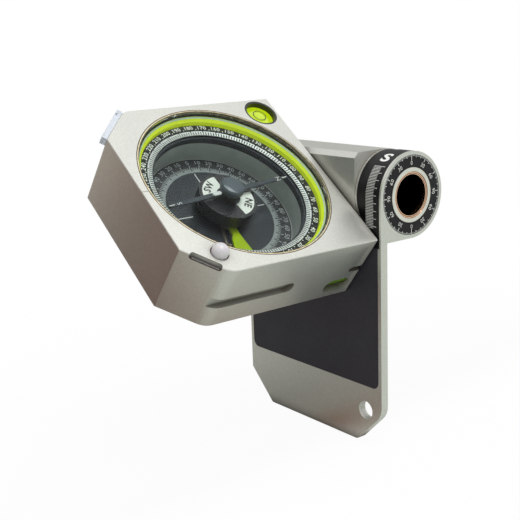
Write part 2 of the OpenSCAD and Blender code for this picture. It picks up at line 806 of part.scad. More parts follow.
module lift_lever() {
    color([0.72, 0.66, 0.40]) in_case() rotate([0, 0, pin_turn]) difference() {
        translate([0, 0, lever_top - lever_t]) union() {
            translate([0, -lever_w / 2, 0]) cube([pin_at + 1.8, lever_w, lever_t]);
            cylinder(r = 3.4, h = lever_t);
        }
        disc(1.25, lever_top - lever_t - over, lever_top + over);
        translate([pivot_at, 6, lever_mid]) rotate([90, 0, 0]) cylinder(r = 0.65, h = 12);
    }
}

module lift_sleeve() {
    color([0.75, 0.70, 0.45]) in_case() {
        ring(sleeve_r, post_r + 0.08, sleeve_foot, sleeve_top);
        ring(2, post_r + 0.08, sleeve_foot, sleeve_foot + 0.5);
    }
}

plate();
plate_facing();
band_right();
band_left();
end_dial_right();
end_dial_left();
hinge_beam();
hollow_shaft();
ring_nut_right();
ring_nut_left();
collar_right();
collar_left();
washer_right();
washer_left();
swivel_stud();
swivel_washer();
case();
base_cover();
cover_screws();
bezel();
glass();
glass_gasket();
green_ring();
capsule();
lower_dial();
hub();
pivot_post();
level_cup();
level_vial();
tube_vial();
tube_plug();
clear_strip();
pin_spring();
lever_pin();
azimuth_ring();
pendulum();
slope_pointer();
needle();
needle_clip();
needle_cap();
needle_jewel();
lock_pin();
lift_lever();
lift_sleeve();
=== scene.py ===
import bmesh
import bpy
from math import cos, hypot, pi, radians, sin
from mathutils import Matrix, Vector


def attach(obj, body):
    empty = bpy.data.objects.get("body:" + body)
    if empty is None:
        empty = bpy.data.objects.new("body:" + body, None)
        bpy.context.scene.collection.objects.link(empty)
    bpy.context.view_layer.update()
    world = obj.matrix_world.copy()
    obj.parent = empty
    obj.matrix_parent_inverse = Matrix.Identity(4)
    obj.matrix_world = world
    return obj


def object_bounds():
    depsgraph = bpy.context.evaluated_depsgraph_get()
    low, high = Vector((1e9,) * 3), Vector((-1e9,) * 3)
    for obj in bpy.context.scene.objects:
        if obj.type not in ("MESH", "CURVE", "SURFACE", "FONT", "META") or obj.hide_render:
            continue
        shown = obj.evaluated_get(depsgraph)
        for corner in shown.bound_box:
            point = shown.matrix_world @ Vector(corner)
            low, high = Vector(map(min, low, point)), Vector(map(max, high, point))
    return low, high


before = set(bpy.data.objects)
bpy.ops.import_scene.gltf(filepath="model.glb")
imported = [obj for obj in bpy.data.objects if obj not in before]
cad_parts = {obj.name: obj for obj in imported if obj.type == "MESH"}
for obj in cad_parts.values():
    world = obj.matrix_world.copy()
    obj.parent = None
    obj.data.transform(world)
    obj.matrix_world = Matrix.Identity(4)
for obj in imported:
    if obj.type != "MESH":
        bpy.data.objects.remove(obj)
cad_low, cad_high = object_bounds()


# Plate, cross beam, case and base cover: aluminium alloy, milled, blasted with fine grit and
# clear anodised. The grit leaves an even matt silver that lights up softly, with a faint
# warm tone and barely visible cloudy patches. Grooves and nooks are darkened with painted
# shade: a brown grey without metal shine, near black on the lower side of the thumb groove.
def linear(hexcode):
    """An sRGB hex colour as linear RGBA."""
    parts = [int(hexcode[i:i + 2], 16) / 255 for i in (1, 3, 5)]
    return [p / 12.92 if p <= 0.04045 else ((p + 0.055) / 1.055) ** 2.4 for p in parts] + [1.0]


def add_node(material, kind, sockets=None, **settings):
    """Adds a node: settings are its fields, sockets its inputs, each a value or a linked output."""
    made = material.node_tree.nodes.new(kind)
    for name, value in settings.items():
        setattr(made, name, value)
    for name, value in (sockets or {}).items():
        if isinstance(value, bpy.types.NodeSocket):
            material.node_tree.links.new(value, made.inputs[name])
        else:
            made.inputs[name].default_value = value
    return made


def new_material(name, sockets):
    """A material with one Principled shader, whose sockets start at these values."""
    material = bpy.data.materials.new(name)
    material.use_nodes = True
    for socket, value in sockets.items():
        material.node_tree.nodes["Principled BSDF"].inputs[socket].default_value = value
    return material


def join(material, output, socket, node="Principled BSDF"):
    """Links an output to a socket of a node that the material has had from the start."""
    material.node_tree.links.new(output, material.node_tree.nodes[node].inputs[socket])


def coat(material, *nodes):
    """Gives CAD parts their finish."""
    for name in nodes:
        for material_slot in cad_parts[name].material_slots:
            material_slot.material = material


def per_mm(size):
    """Texture scale at which one feature is this many millimetres across."""
    return 1000 / size


def mottle(material, dark, light, patch_mm, spread=(0.3, 0.7)):
    """Colour that drifts between two close tones in patches of a real size."""
    place = add_node(material, "ShaderNodeTexCoord")
    cloud = add_node(material, "ShaderNodeTexNoise", {
        "Vector": place.outputs["Object"], "Scale": per_mm(patch_mm), "Detail": 2.0, "Roughness": 0.6})
    tones = add_node(material, "ShaderNodeValToRGB", {"Fac": cloud.outputs["Fac"]})
    for element, position, hexcode in zip(tones.color_ramp.elements, spread, (dark, light)):
        element.position, element.color = position, linear(hexcode)
    return tones.outputs["Color"]


def tint(material, dark, light, patch_mm):
    """Gives the whole material a mottled colour."""
    join(material, mottle(material, dark, light, patch_mm), "Base Color")


def grain(material, size_mm, strength, depth_mm, rough):
    """Fine bump, with a roughness that drifts between two values. Real grain is mostly finer
    than 0.1 mm and wouldn't show, so it is drawn 0.2 mm wide or more."""
    place = add_node(material, "ShaderNodeTexCoord")
    grit = add_node(material, "ShaderNodeTexNoise", {
        "Vector": place.outputs["Object"], "Scale": per_mm(size_mm), "Detail": 3.0, "Roughness": 0.6})
    bump = add_node(material, "ShaderNodeBump", {
        "Height": grit.outputs["Fac"], "Strength": strength, "Distance": depth_mm / 1000})
    join(material, bump.outputs["Normal"], "Normal")
    drift_mm = 9
    drift = add_node(material, "ShaderNodeTexNoise", {
        "Vector": place.outputs["Object"], "Scale": per_mm(drift_mm), "Detail": 2.0})
    roughness = add_node(material, "ShaderNodeMapRange", {
        "Value": drift.outputs["Fac"], "From Min": 0.3, "From Max": 0.7,
        "To Min": rough[0], "To Max": rough[1]})
    join(material, roughness.outputs["Result"], "Roughness")


# The case is rolled on its swivel, and its middle lies this far along it, in millimetres.
case_roll, case_middle = radians(38), -56.9
roll = Matrix.Rotation(case_roll, 4, "Y") @ Matrix.Translation((0, case_middle, 0))
case_up = Vector((sin(case_roll), 0, cos(case_roll)))


def thumb_groove_soil(material):
    """Share of painted shade at a spot: full along the lower side of the thumb groove, less further
    up its round wall, and none outside it. The groove's place and sizes are those of the CAD."""
    groove_middle = roll @ Vector((33.07, -33.07, 12.1)) / 1000
    groove_axis = roll.to_3x3() @ Vector((-1, -1, 0)).normalized()
    groove_start, groove_end, groove_radius = -0.0047, 0.0045, 0.0013
    place = add_node(material, "ShaderNodeTexCoord")
    arm = add_node(material, "ShaderNodeVectorMath", {
        0: place.outputs["Object"], 1: groove_middle}, operation="SUBTRACT")
    along = add_node(material, "ShaderNodeVectorMath", {
        0: arm.outputs["Vector"], 1: groove_axis}, operation="DOT_PRODUCT")
    within = add_node(material, "ShaderNodeClamp", {
        "Value": along.outputs["Value"], "Min": groove_start, "Max": groove_end})
    nearest = add_node(material, "ShaderNodeVectorMath", {
        0: groove_axis, "Scale": within.outputs["Result"]}, operation="SCALE")
    off_axis = add_node(material, "ShaderNodeVectorMath", {
        0: arm.outputs["Vector"], 1: nearest.outputs["Vector"]}, operation="SUBTRACT")
    reach = add_node(material, "ShaderNodeVectorMath", {
        0: off_axis.outputs["Vector"]}, operation="LENGTH")
    on_wall = add_node(material, "ShaderNodeMapRange", {
        "Value": reach.outputs["Value"], "From Min": groove_radius + 0.00003,
        "From Max": groove_radius + 0.00007, "To Min": 1.0, "To Max": 0.0})
    height = add_node(material, "ShaderNodeVectorMath", {
        0: off_axis.outputs["Vector"], 1: case_up}, operation="DOT_PRODUCT")
    low_side = add_node(material, "ShaderNodeMapRange", {
        "Value": height.outputs["Value"], "From Min": -0.001, "From Max": -0.0001,
        "To Min": 1.0, "To Max": 0.0})
    share = add_node(material, "ShaderNodeMath", {
        0: on_wall.outputs["Result"], 1: low_side.outputs["Result"]}, operation="MULTIPLY")
    return share.outputs["Value"]


blasted_aluminium = new_material("blasted_anodised_aluminium", {})
silver = mottle(blasted_aluminium, "#cacbc4", "#d3d4cd", patch_mm=0.7, spread=(0.35, 0.65))
nook_depth = 0.005
nook = add_node(blasted_aluminium, "ShaderNodeAmbientOcclusion", {"Distance": nook_depth}, samples=8)
open_air = add_node(blasted_aluminium, "ShaderNodeMapRange", {
    "Value": nook.outputs["AO"], "From Min": 0.45, "From Max": 0.95})
# Painted shade in grooves and nooks: where little light reaches, the silver is mixed towards a brown
# grey.
nook_painted_shade = add_node(blasted_aluminium, "ShaderNodeMixRGB", {
    "Fac": open_air.outputs["Result"], "Color1": linear("#6a645b"), "Color2": silver})
groove_painted_shade = thumb_groove_soil(blasted_aluminium)
# Painted shade along the lower side of the thumb groove: a nearly black brown.
finish = add_node(blasted_aluminium, "ShaderNodeMixRGB", {
    "Fac": groove_painted_shade, "Color1": nook_painted_shade.outputs["Color"], "Color2": linear("#2d2620")})
join(blasted_aluminium, finish.outputs["Color"], "Base Color")
# Where the painted shade falls, the metal shine is taken away too, fully in the thumb groove.
metallic_outside_shade = add_node(blasted_aluminium, "ShaderNodeMapRange", {
    "Value": nook.outputs["AO"], "From Min": 0.7, "From Max": 0.95, "To Max": 0.75})
metallic_without_shade = add_node(blasted_aluminium, "ShaderNodeMath", {
    0: metallic_outside_shade.outputs["Result"], 1: groove_painted_shade}, operation="SUBTRACT", use_clamp=True)
join(blasted_aluminium, metallic_without_shade.outputs["Value"], "Metallic")
grain(blasted_aluminium, size_mm=0.2, strength=0.3, depth_mm=0.015, rough=(0.32, 0.36))
coat(blasted_aluminium, "plate", "hinge_beam", "case", "base_cover")

# Facing of the plate: a thin black plastic sheet let into the outer face, smooth with a
# slight sheen. It carries nothing but its own fine finish.
black_facing = new_material("satin_black_film", {"IOR": 1.5, "Specular IOR Level": 0.25})
tint(black_facing, "#33323a", "#393840", patch_mm=0.8)
grain(black_facing, size_mm=0.5, strength=0.1, depth_mm=0.02, rough=(0.4, 0.5))
coat(black_facing, "plate_facing")

# Graduated parts: black anodised aluminium, with the strokes and figures filled with white
# paint. The black is deep and satin, and shows a little dust grey where light grazes it.
black_anodised = new_material("black_anodised_aluminium", {"IOR": 1.5, "Specular IOR Level": 0.25})
tint(black_anodised, "#0d0d0f", "#151517", patch_mm=3)
grain(black_anodised, size_mm=0.3, strength=0.12, depth_mm=0.02, rough=(0.38, 0.48))
coat(black_anodised, "band_right", "band_left", "end_dial_right", "end_dial_left", "azimuth_ring")

white_paint = new_material("white_filling_paint", {"IOR": 1.5, "Roughness": 0.5})
tint(white_paint, "#e4e5e1", "#f4f4f0", patch_mm=0.8)


def stroke(angle, inner, outer, width):
    """One radial stroke on a dial: its corners in mm, at an angle in degrees from +X."""
    turn = Matrix.Rotation(radians(angle), 2)
    half = width / 2
    return [turn @ Vector(p) for p in ((inner, -half), (outer, -half), (outer, half), (inner, half))]


glyphs = {}


def figure(text, height, angle=0.0, radius=0.0, turn=0.0, weight=-0.012):
    """Polygons of a figure, that high in mm, centred on a radius and angle, then turned."""
    if (text, weight) not in glyphs:
        curve = bpy.data.curves.new("figure", "FONT")
        curve.body = text
        curve.resolution_u = 3
        curve.offset = weight
        curve.space_character = 1.08
        writing = bpy.data.objects.new("figure", curve)
        bpy.context.scene.collection.objects.link(writing)
        bpy.context.view_layer.update()
        mesh = bpy.data.meshes.new_from_object(writing)
        points = [v.co.to_2d() for v in mesh.vertices]
        low = Vector((min(p.x for p in points), min(p.y for p in points)))
        high = Vector((max(p.x for p in points), max(p.y for p in points)))
        middle, size = (low + high) / 2, high.y - low.y
        glyphs[text, weight] = [[(points[i] - middle) / size for i in f.vertices]
                                for f in mesh.polygons]
        bpy.data.objects.remove(writing)
        bpy.data.meshes.remove(mesh)
        bpy.data.curves.remove(curve)
    spin = Matrix.Rotation(radians(turn), 2)
    out = Matrix.Rotation(radians(angle), 2) @ Vector((radius, 0))
    return [[spin @ (p * height) + out for p in face] for face in glyphs[text, weight]]


def printed(name, body, material, polygons, place):
    """One piece of flat print: place turns a polygon's 2D point in mm into a 3D point in mm."""
    points, faces = [], []
    for polygon in polygons:
        faces.append(list(range(len(points), len(points) + len(polygon))))
        points += [Vector(place(p)) / 1000 for p in polygon]
    mesh = bpy.data.meshes.new(name)
    mesh.from_pydata(points, [], faces)
    mesh.materials.append(material)
    piece = bpy.data.objects.new(name, mesh)
    bpy.context.scene.collection.objects.link(piece)
    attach(piece, body)


# End dials: the two-sided slope scale at each end of the hinge, 0 at top and bottom and 90
# at the sides, engraved and filled. Strokes stand every two degrees and run from the rim
# inwards, longer ones every 10, 30 and 90. Finer ones wouldn't show.
end_face, end_rim = 39.93, 14.85


def end_scale():
    """Strokes and figures of one end dial, in mm from its middle."""
    polygons = []
    for angle in range(0, 360, 2):
        length, width = 0.45, 0.13
        for step, longer in ((10, 0.85), (30, 1.6), (90, 1.9)):
            if angle % step == 0:
                length, width = longer, 0.2
        polygons.append(stroke(angle, end_rim - length, end_rim, width))
    figure_radius = 12.0
    for angle in range(0, 360, 30):
        value = [90, 60, 30, 0, 30, 60][angle // 30 % 6]
        polygons += figure(str(value), 1.5, angle, figure_radius, angle - 90, weight=-0.008)
    return polygons


printed("end_scale_right", "measuring_lid", white_paint, end_scale(),
        lambda p: (end_face, p.x, p.y))
printed("end_scale_left", "measuring_lid", white_paint, end_scale(),
        lambda p: (-end_face, -p.x, p.y))

# Bands round the ears: strokes every two degrees, engraved from the inner edge and filled, long
# ones every ten. They start half way down the front and run on over the flat foot. A filled
# letter names the side.
band_face, band_edge = 16.43, 32.1
quarter = radians(90) * band_face


def band_scale():
    """Strokes of one band: x runs outwards from its inner edge, y round it from its top."""
    polygons = []
    inner, short, long, half = 0.2, 4.1, 5.6, 0.09
    for angle in range(45, 128, 2):
        outer = long if angle % 10 == 5 else short
        along = radians(angle) * band_face
        polygons.append([Vector((inner, along - half)), Vector((outer, along - half)),
                         Vector((outer, along + half)), Vector((inner, along + half))])
    return polygons


def band_letter(letter, side):
    """The letter stands upright for someone who looks at the hinge from the front."""
    height, widening = 5.0, 1.45
    middle = Vector((2.7, radians(28) * band_face))
    return [[Vector((side * p.x * widening, -p.y)) + middle for p in face]
            for face in figure(letter, height, weight=0.03)]


def round_the_ear(side):
    """From the top of the band down its front, and straight down where the front is flat."""
    def place(p):
        over_edge = p.y - quarter
        if over_edge > 0:
            return (side * (band_edge + p.x), -band_face, -over_edge)
        turn = p.y / band_face
        return (side * (band_edge + p.x), -band_face * sin(turn), band_face * cos(turn))
    return place


def finer(polygons, limit):
    """Cuts large print into small faces, so that it can be bent round."""
    cut = bmesh.new()
    for polygon in polygons:
        cut.faces.new([cut.verts.new((p.x, p.y, 0)) for p in polygon])
    bmesh.ops.remove_doubles(cut, verts=cut.verts, dist=1e-5)
    rounds = 4
    for _ in range(rounds):
        long_edges = [e for e in cut.edges if e.calc_length() > limit]
        if not long_edges:
            break
        bmesh.ops.subdivide_edges(cut, edges=long_edges, cuts=1)
        bmesh.ops.triangulate(cut, faces=cut.faces)
    result = [[v.co.to_2d() for v in f.verts] for f in cut.faces]
    cut.free()
    return result


for side, name, letter in ((1, "right", "S"), (-1, "left", "N")):
    printed("band_scale_" + name, "measuring_lid", white_paint,
            finer(band_scale(), 1.2), round_the_ear(side))
    printed("band_letter_" + name, "measuring_lid", white_paint,
            finer(band_letter(letter, side), 0.8), round_the_ear(side))

# Collars beside the beam, washer of the swivel and plug of the tube level: black engineering
# plastic, turned, which leaves a satin face with a soft broad shine.
black_plastic = new_material("turned_black_plastic", {"IOR": 1.5, "Specular IOR Level": 0.25})
tint(black_plastic, "#121214", "#1a1a1c", patch_mm=2)
grain(black_plastic, size_mm=0.4, strength=0.15, depth_mm=0.03, rough=(0.35, 0.5))
coat(black_plastic, "collar_right", "collar_left", "swivel_washer", "tube_plug")

# Ring nuts, washers, stud, pins and screws: stainless steel, turned on a lathe and finished
# by light grinding, which leaves a pale satin metal with a fine even grain.
turned_steel = new_material("turned_stainless_steel", {"Metallic": 0.6})
tint(turned_steel, "#d6d5cc", "#e2e1d9", patch_mm=4)
grain(turned_steel, size_mm=0.25, strength=0.1, depth_mm=0.02, rough=(0.25, 0.36))
coat(turned_steel, "ring_nut_right", "ring_nut_left", "washer_right", "washer_left",
     "swivel_stud", "cover_screws", "lever_pin", "pivot_post", "pin_spring")

# Tube through the hinge: copper, bored out. The first two millimetres of its mouths are bright,
# with tool rings round the axis, drawn 0.6 mm apart so that they show; their near white bands
# are painted highlight and their dark ones painted shade. The bore behind them is coloured
# near black.
ring_gap, dark_bore_to, bright_from = 0.6, 0.0370, 0.0384
copper = new_material("bored_copper_tube", {"Metallic": 1.0, "Roughness": 0.25})
place = add_node(copper, "ShaderNodeTexCoord")
parts = add_node(copper, "ShaderNodeSeparateXYZ", {"Vector": place.outputs["Object"]})
depth = add_node(copper, "ShaderNodeMath", {0: parts.outputs["X"]}, operation="ABSOLUTE")
flat = add_node(copper, "ShaderNodeVectorMath", {
    0: place.outputs["Object"], 1: (0, 1, 1)}, operation="MULTIPLY")
radius = add_node(copper, "ShaderNodeVectorMath", {0: flat.outputs["Vector"]}, operation="LENGTH")
along = add_node(copper, "ShaderNodeMath", {
    0: depth.outputs["Value"], 1: radius.outputs["Value"]}, operation="ADD")
phase = add_node(copper, "ShaderNodeMath", {
    0: along.outputs["Value"], 1: 2 * pi * per_mm(ring_gap)}, operation="MULTIPLY")
wave = add_node(copper, "ShaderNodeMath", {0: phase.outputs["Value"]}, operation="SINE")
rings = add_node(copper, "ShaderNodeMapRange", {
    "Value": wave.outputs["Value"], "From Min": -0.4, "From Max": 0.6})
# Painted highlight and shade: the tool rings swap between dark copper and a near white glint.
bright = add_node(copper, "ShaderNodeMixRGB", {
    "Fac": rings.outputs["Result"], "Color1": linear("#8c4a30"), "Color2": linear("#ffdcbe")})
# The bore behind the mouths is coloured near black.
mouth = add_node(copper, "ShaderNodeMapRange", {
    "Value": depth.outputs["Value"], "From Min": dark_bore_to, "From Max": bright_from})
bore = add_node(copper, "ShaderNodeMixRGB", {
    "Fac": mouth.outputs["Result"], "Color1": linear("#0b0808"), "Color2": bright.outputs["Color"]})
join(copper, bore.outputs["Color"], "Base Color")
coat(copper, "hollow_shaft")

# Bezel: thin rolled brass with a clear lacquer, a warm pale gold line round the glass, with a
# painted dark line of shade where it meets the case, and one at its inner edge.
gold_bezel = new_material("lacquered_brass_bezel", {"Metallic": 1.0})
tint(gold_bezel, "#c6b58c", "#efe5c8", patch_mm=2)
grain(gold_bezel, size_mm=0.3, strength=0.1, depth_mm=0.02, rough=(0.22, 0.34))
coat(gold_bezel, "bezel")
# Painted shade: a dark brown line at each edge of the bezel.
bezel_shade_line = new_material("painted_bezel_shade_line", {
    "IOR": 1.5, "Roughness": 0.5, "Specular IOR Level": 0.2})
tint(bezel_shade_line, "#221c12", "#3a3222", patch_mm=2)

# Glass: flat clear mineral glass, coated against reflections, so its IOR is set low. Light on
# its way to what lies under it is let straight through, as real thin glass does.
clear_glass = new_material("coated_mineral_glass", {
    "Base Color": linear("#f4f8f6"), "Roughness": 0.02, "Transmission Weight": 1.0, "IOR": 1.12})
path = add_node(clear_glass, "ShaderNodeLightPath")
let_through = add_node(clear_glass, "ShaderNodeMath", {
    0: path.outputs["Is Shadow Ray"], 1: path.outputs["Is Diffuse Ray"]}, operation="MAXIMUM")
clear = add_node(clear_glass, "ShaderNodeBsdfTransparent", {"Color": linear("#f2f6f4")})
mixed = add_node(clear_glass, "ShaderNodeMixShader", {
    0: let_through.outputs["Value"],
    1: clear_glass.node_tree.nodes["Principled BSDF"].outputs["BSDF"],
    2: clear.outputs["BSDF"]})
join(clear_glass, mixed.outputs["Shader"], "Surface", "Material Output")
coat(clear_glass, "glass")

# Gasket: a ring of black rubber that the glass is pressed against, moulded, with a dusty matt
# face that shows as a dark edge under the bezel.
black_rubber = new_material("black_rubber_gasket", {"IOR": 1.5})
tint(black_rubber, "#14170f", "#1f2318", patch_mm=1.5)
grain(black_rubber, size_mm=0.3, strength=0.2, depth_mm=0.03, rough=(0.6, 0.75))
coat(black_rubber, "glass_gasket")

# Green ring: acrylic dyed with a fluorescent yellow green, moulded and glossy. It gathers
# light and gives it back, and this glow is painted in as a fixed faint emission that doesn't
# follow the lamps.
green_acrylic = new_material("fluorescent_green_acrylic", {
    "IOR": 1.49, "Emission Color": linear("#c2dc00"), "Emission Strength": 0.35})
tint(green_acrylic, "#bcc900", "#c8d600", patch_mm=5)
grain(green_acrylic, size_mm=0.6, strength=0.05, depth_mm=0.01, rough=(0.25, 0.35))
coat(green_acrylic, "green_ring")

# Slope pointer: a wedge of the same acrylic, dyed darker and without the glow, held beside
# the hanging weight.
pointer_acrylic = new_material("green_pointer_acrylic", {"IOR": 1.49, "Specular IOR Level": 0.2})
tint(pointer_acrylic, "#9db708", "#acc70c", patch_mm=3)
grain(pointer_acrylic, size_mm=0.6, strength=0.05, depth_mm=0.01, rough=(0.3, 0.4))
coat(pointer_acrylic, "slope_pointer")

# Cup of the capsule: grey moulded plastic, matt inside to kill glare. The top two millimetres
# of its wall are painted near black: painted shade under the foot of the azimuth ring.
grey_until, dark_from = 0.0030, 0.0033
grey_plastic = new_material("matt_grey_moulding", {"IOR": 1.5, "Specular IOR Level": 0.3})
place = add_node(grey_plastic, "ShaderNodeTexCoord")
level = add_node(grey_plastic, "ShaderNodeVectorMath", {
    0: place.outputs["Object"], 1: case_up}, operation="DOT_PRODUCT")
# Painted shade: the top of the wall, under the azimuth ring, turns near black.
painted_ring_shade = add_node(grey_plastic, "ShaderNodeMapRange", {
    "Value": level.outputs["Value"], "From Min": grey_until, "From Max": dark_from})
wall = add_node(grey_plastic, "ShaderNodeMixRGB", {
    "Fac": painted_ring_shade.outputs["Result"],
    "Color1": mottle(grey_plastic, "#a3aaa9", "#afb6b4", patch_mm=5),
    "Color2": linear("#23282e")})
join(grey_plastic, wall.outputs["Color"], "Base Color")
grain(grey_plastic, size_mm=0.5, strength=0.15, depth_mm=0.03, rough=(0.5, 0.65))
coat(grey_plastic, "capsule")

# Azimuth ring: turned from black anodised aluminium, with figures every ten degrees on its
# upper step and dark strokes on its pale brushed lower one. A stroke for every degree would be
# too fine to show, so they are drawn every two degrees and 0.45 mm wide.
pale_step = new_material("brushed_silver_scale", {"Metallic": 0.3, "Roughness": 0.45})
tint(pale_step, "#c4c7c6", "#d9dcdb", patch_mm=1.2)


def on_case(height):
    """Places print that high in mm above the hinge axis, before the roll of the case."""
    return lambda p: roll @ Vector((p.x, p.y, height))


def annulus(inner, outer, start=0, end=360, step=3):
    """A flat ring, or a part of one, as four-sided polygons."""
    polygons = []
    for angle in range(start, end, step):
        a, b = radians(angle), radians(min(angle + step, end))
        polygons.append([Vector((r * cos(t), r * sin(t)))
                         for r, t in ((inner, a), (outer, a), (outer, b), (inner, b))])
    return polygons


figure_level, figure_circle = 7.13, 33.2
tick_level, tick_rise, tick_foot = 6.46, 0.15, 29.7
step_inner, step_outer = 29.75, 31.65


def on_tick_step(p):
    """The lower step of the ring falls a little towards its middle."""
    return roll @ Vector((p.x, p.y, tick_level + tick_rise * (hypot(p.x, p.y) - tick_foot)))


numbers, dark_strokes = [], []
for angle in range(0, 360, 2):
    stroke_end = 31.2
    if angle % 10 == 0:
        stroke_end = step_outer
        numbers += figure(str(angle), 1.85, angle, figure_circle, angle - 90, weight=0.008)
        numbers.append(stroke(angle + 5, 32.0, 32.5, 0.3))
    dark_strokes.append(stroke(angle, 29.8, stroke_end, 0.45))
printed("azimuth_figures", "azimuth_dial", white_paint, numbers,
        on_case(figure_level))
printed("azimuth_pale_step", "azimuth_dial", pale_step,
        annulus(step_inner, step_outer), on_tick_step)
printed("azimuth_strokes", "azimuth_dial", black_anodised, dark_strokes,
        lambda p: on_tick_step(p) + case_up * 0.03)

# Fine lines round the glass: dark ones at both edges of the bezel, which are painted shade,
# and a pale one on the outer edge of the green ring, a painted highlight where its acrylic
# catches the light.
case_face, bezel_inner, bezel_outer = 12.82, 36.3, 37.25
green_top, green_edge, green_slope = 10.45, 36.0, 1.15
# Painted highlight: a pale line along the outer edge of the green ring.
painted_edge_highlight = new_material("painted_acrylic_edge_highlight", {"IOR": 1.49, "Roughness": 0.3})
tint(painted_edge_highlight, "#b9cfc4", "#d4e4dc", patch_mm=2)
# Painted shade: dark lines at both edges of the bezel.
printed("bezel_painted_shade_lines", "compass_case", bezel_shade_line,
        annulus(bezel_inner, bezel_inner + 0.2) + annulus(bezel_outer - 0.3, bezel_outer),
        on_case(case_face))


def on_green_cone(p):
    """The green ring falls steeply towards the dial."""
    return roll @ Vector((p.x, p.y, green_top - green_slope * (green_edge - hypot(p.x, p.y))))


printed("green_ring_painted_highlight", "compass_case", painted_edge_highlight,
        annulus(green_edge - 0.55, green_edge - 0.15), on_green_cone)

# Lower dial: aluminium disc printed in slate grey, with a black ring of slope figures, a grey
# ring of strokes inside it, and fine white lines that quarter the middle. The strokes too are
# drawn coarse, every two and a half degrees, so that they show.
slate_print = new_material("slate_grey_print", {"IOR": 1.5, "Specular IOR Level": 0.3})
tint(slate_print, "#1f2329", "#272b31", patch_mm=4)
grain(slate_print, size_mm=0.4, strength=0.08, depth_mm=0.02, rough=(0.4, 0.5))
coat(slate_print, "lower_dial")
black_print = new_material("black_dial_print", {"IOR": 1.5, "Roughness": 0.45})
tint(black_print, "#0c0d10", "#131518", patch_mm=3)
grey_print = new_material("grey_dial_print", {"IOR": 1.5, "Roughness": 0.45})
tint(grey_print, "#7e8484", "#8f9594", patch_mm=2)
pale_print = new_material("pale_grey_dial_print", {"IOR": 1.5, "Roughness": 0.5})
tint(pale_print, "#b6bcbe", "#c8cdcf", patch_mm=1)
ring_level, mark_level = -4.98, -4.95
grey_inner, grey_outer, black_outer, slope_circle = 21.4, 24.0, 28.4, 26.7
slope_figures, slope_strokes = [], []
for angle in range(0, 360, 10):
    from_side = angle % 180
    value = from_side if from_side <= 90 else 180 - from_side
    slope_figures += figure(str(value), 1.9, angle, slope_circle, angle - 90)
    slope_figures.append(stroke(angle, 24.2, 25.2, 0.25))
    slope_strokes.append(stroke(angle, 22.2, 24.1, 0.5))
    slope_strokes += [stroke(angle + step, 23.0, 24.1, 0.45) for step in (2.5, 5, 7.5)]
printed("slope_black_ring", "compass_case", black_print,
        annulus(grey_outer, black_outer), on_case(ring_level))
printed("slope_grey_ring", "compass_case", grey_print,
        annulus(grey_inner, grey_outer), on_case(ring_level))
printed("slope_figures", "compass_case", pale_print, slope_figures,
        on_case(mark_level))
printed("slope_strokes", "compass_case", black_print, slope_strokes,
        on_case(mark_level))
lines = [stroke(angle, 12.5, 20.6, 0.32) for angle in (0, 90, 180, 270)]
lines += annulus(28.5, 28.66)
printed("dial_lines", "compass_case", white_paint, lines, on_case(mark_level))

# Hub: a black moulded drum under the needle, with a satin face and two white windows, let in
# flush, that name the quarters.
hub_black = new_material("black_moulded_hub", {"IOR": 1.5})
tint(hub_black, "#101114", "#191a1e", patch_mm=3)
grain(hub_black, size_mm=0.4, strength=0.1, depth_mm=0.02, rough=(0.25, 0.35))
coat(hub_black, "hub", "level_cup")
window_inner, window_outer, window_half, letter_circle = 4.6, 10.1, 41, 7.9
window_level, letter_level = 3.53, 3.56
windows, letters = [], []
for middle, letter in ((-136, "SW"), (51, "NE")):
    windows += annulus(window_inner, window_outer, middle - window_half, middle + window_half, 4)
    letters += figure(letter, 2.9, middle, letter_circle, middle - 90, weight=0.03)
printed("hub_windows", "compass_case", white_paint, windows, on_case(window_level))
printed("hub_letters", "compass_case", hub_black, letters, on_case(letter_level))

# Needle: thin spring steel, stamped and blued to slate, which leaves a dark satin metal. White
# letters and lines are printed near its ends.
needle_face, needle_heading, mark_circle = 6.18, 95.3, 23.7
blued_steel = new_material("blued_spring_steel", {"Metallic": 0.8})
tint(blued_steel, "#393f44", "#454b50", patch_mm=3)
grain(blued_steel, size_mm=0.3, strength=0.1, depth_mm=0.01, rough=(0.3, 0.4))
coat(blued_steel, "needle")
needle_marks = []
for angle, letter in ((needle_heading, "N"), (needle_heading + 180, "S")):
    needle_marks += figure(letter, 1.9, angle, mark_circle, angle - 90)
    needle_marks.append(stroke(angle, 25.9, 28.2, 0.3))
printed("needle_marks", "magnet_needle", white_paint, needle_marks,
        on_case(needle_face))

# Balance weight: a drop of brass, enamelled white, that is pushed along the south half of the
# needle until it swings level.
white_enamel = new_material("white_enamel", {
    "IOR": 1.5, "Coat Weight": 0.2, "Coat Roughness": 0.2})
tint(white_enamel, "#d5d6d6", "#e4e5e4", patch_mm=1)
grain(white_enamel, size_mm=0.3, strength=0.1, depth_mm=0.01, rough=(0.35, 0.45))
coat(white_enamel, "needle_clip")

# Cap of the needle: a turned disc with a low step round its top, enamelled slate blue and
# pressed on over the jewel.
slate_cap = new_material("slate_blue_enamel", {
    "IOR": 1.5, "Coat Weight": 0.15, "Coat Roughness": 0.2})
tint(slate_cap, "#343d47", "#404a54", patch_mm=2)
grain(slate_cap, size_mm=0.4, strength=0.08, depth_mm=0.02, rough=(0.35, 0.45))
coat(slate_cap, "needle_cap")

# Jewel: a cup of synthetic ruby under the cap, polished, that turns on the tip of the pivot
# post. It is clear and deep red.
ruby = new_material("polished_ruby", {"IOR": 1.76, "Roughness": 0.08, "Transmission Weight": 0.4})
tint(ruby, "#8a0f1e", "#a51a2c", patch_mm=0.5)
coat(ruby, "needle_jewel")

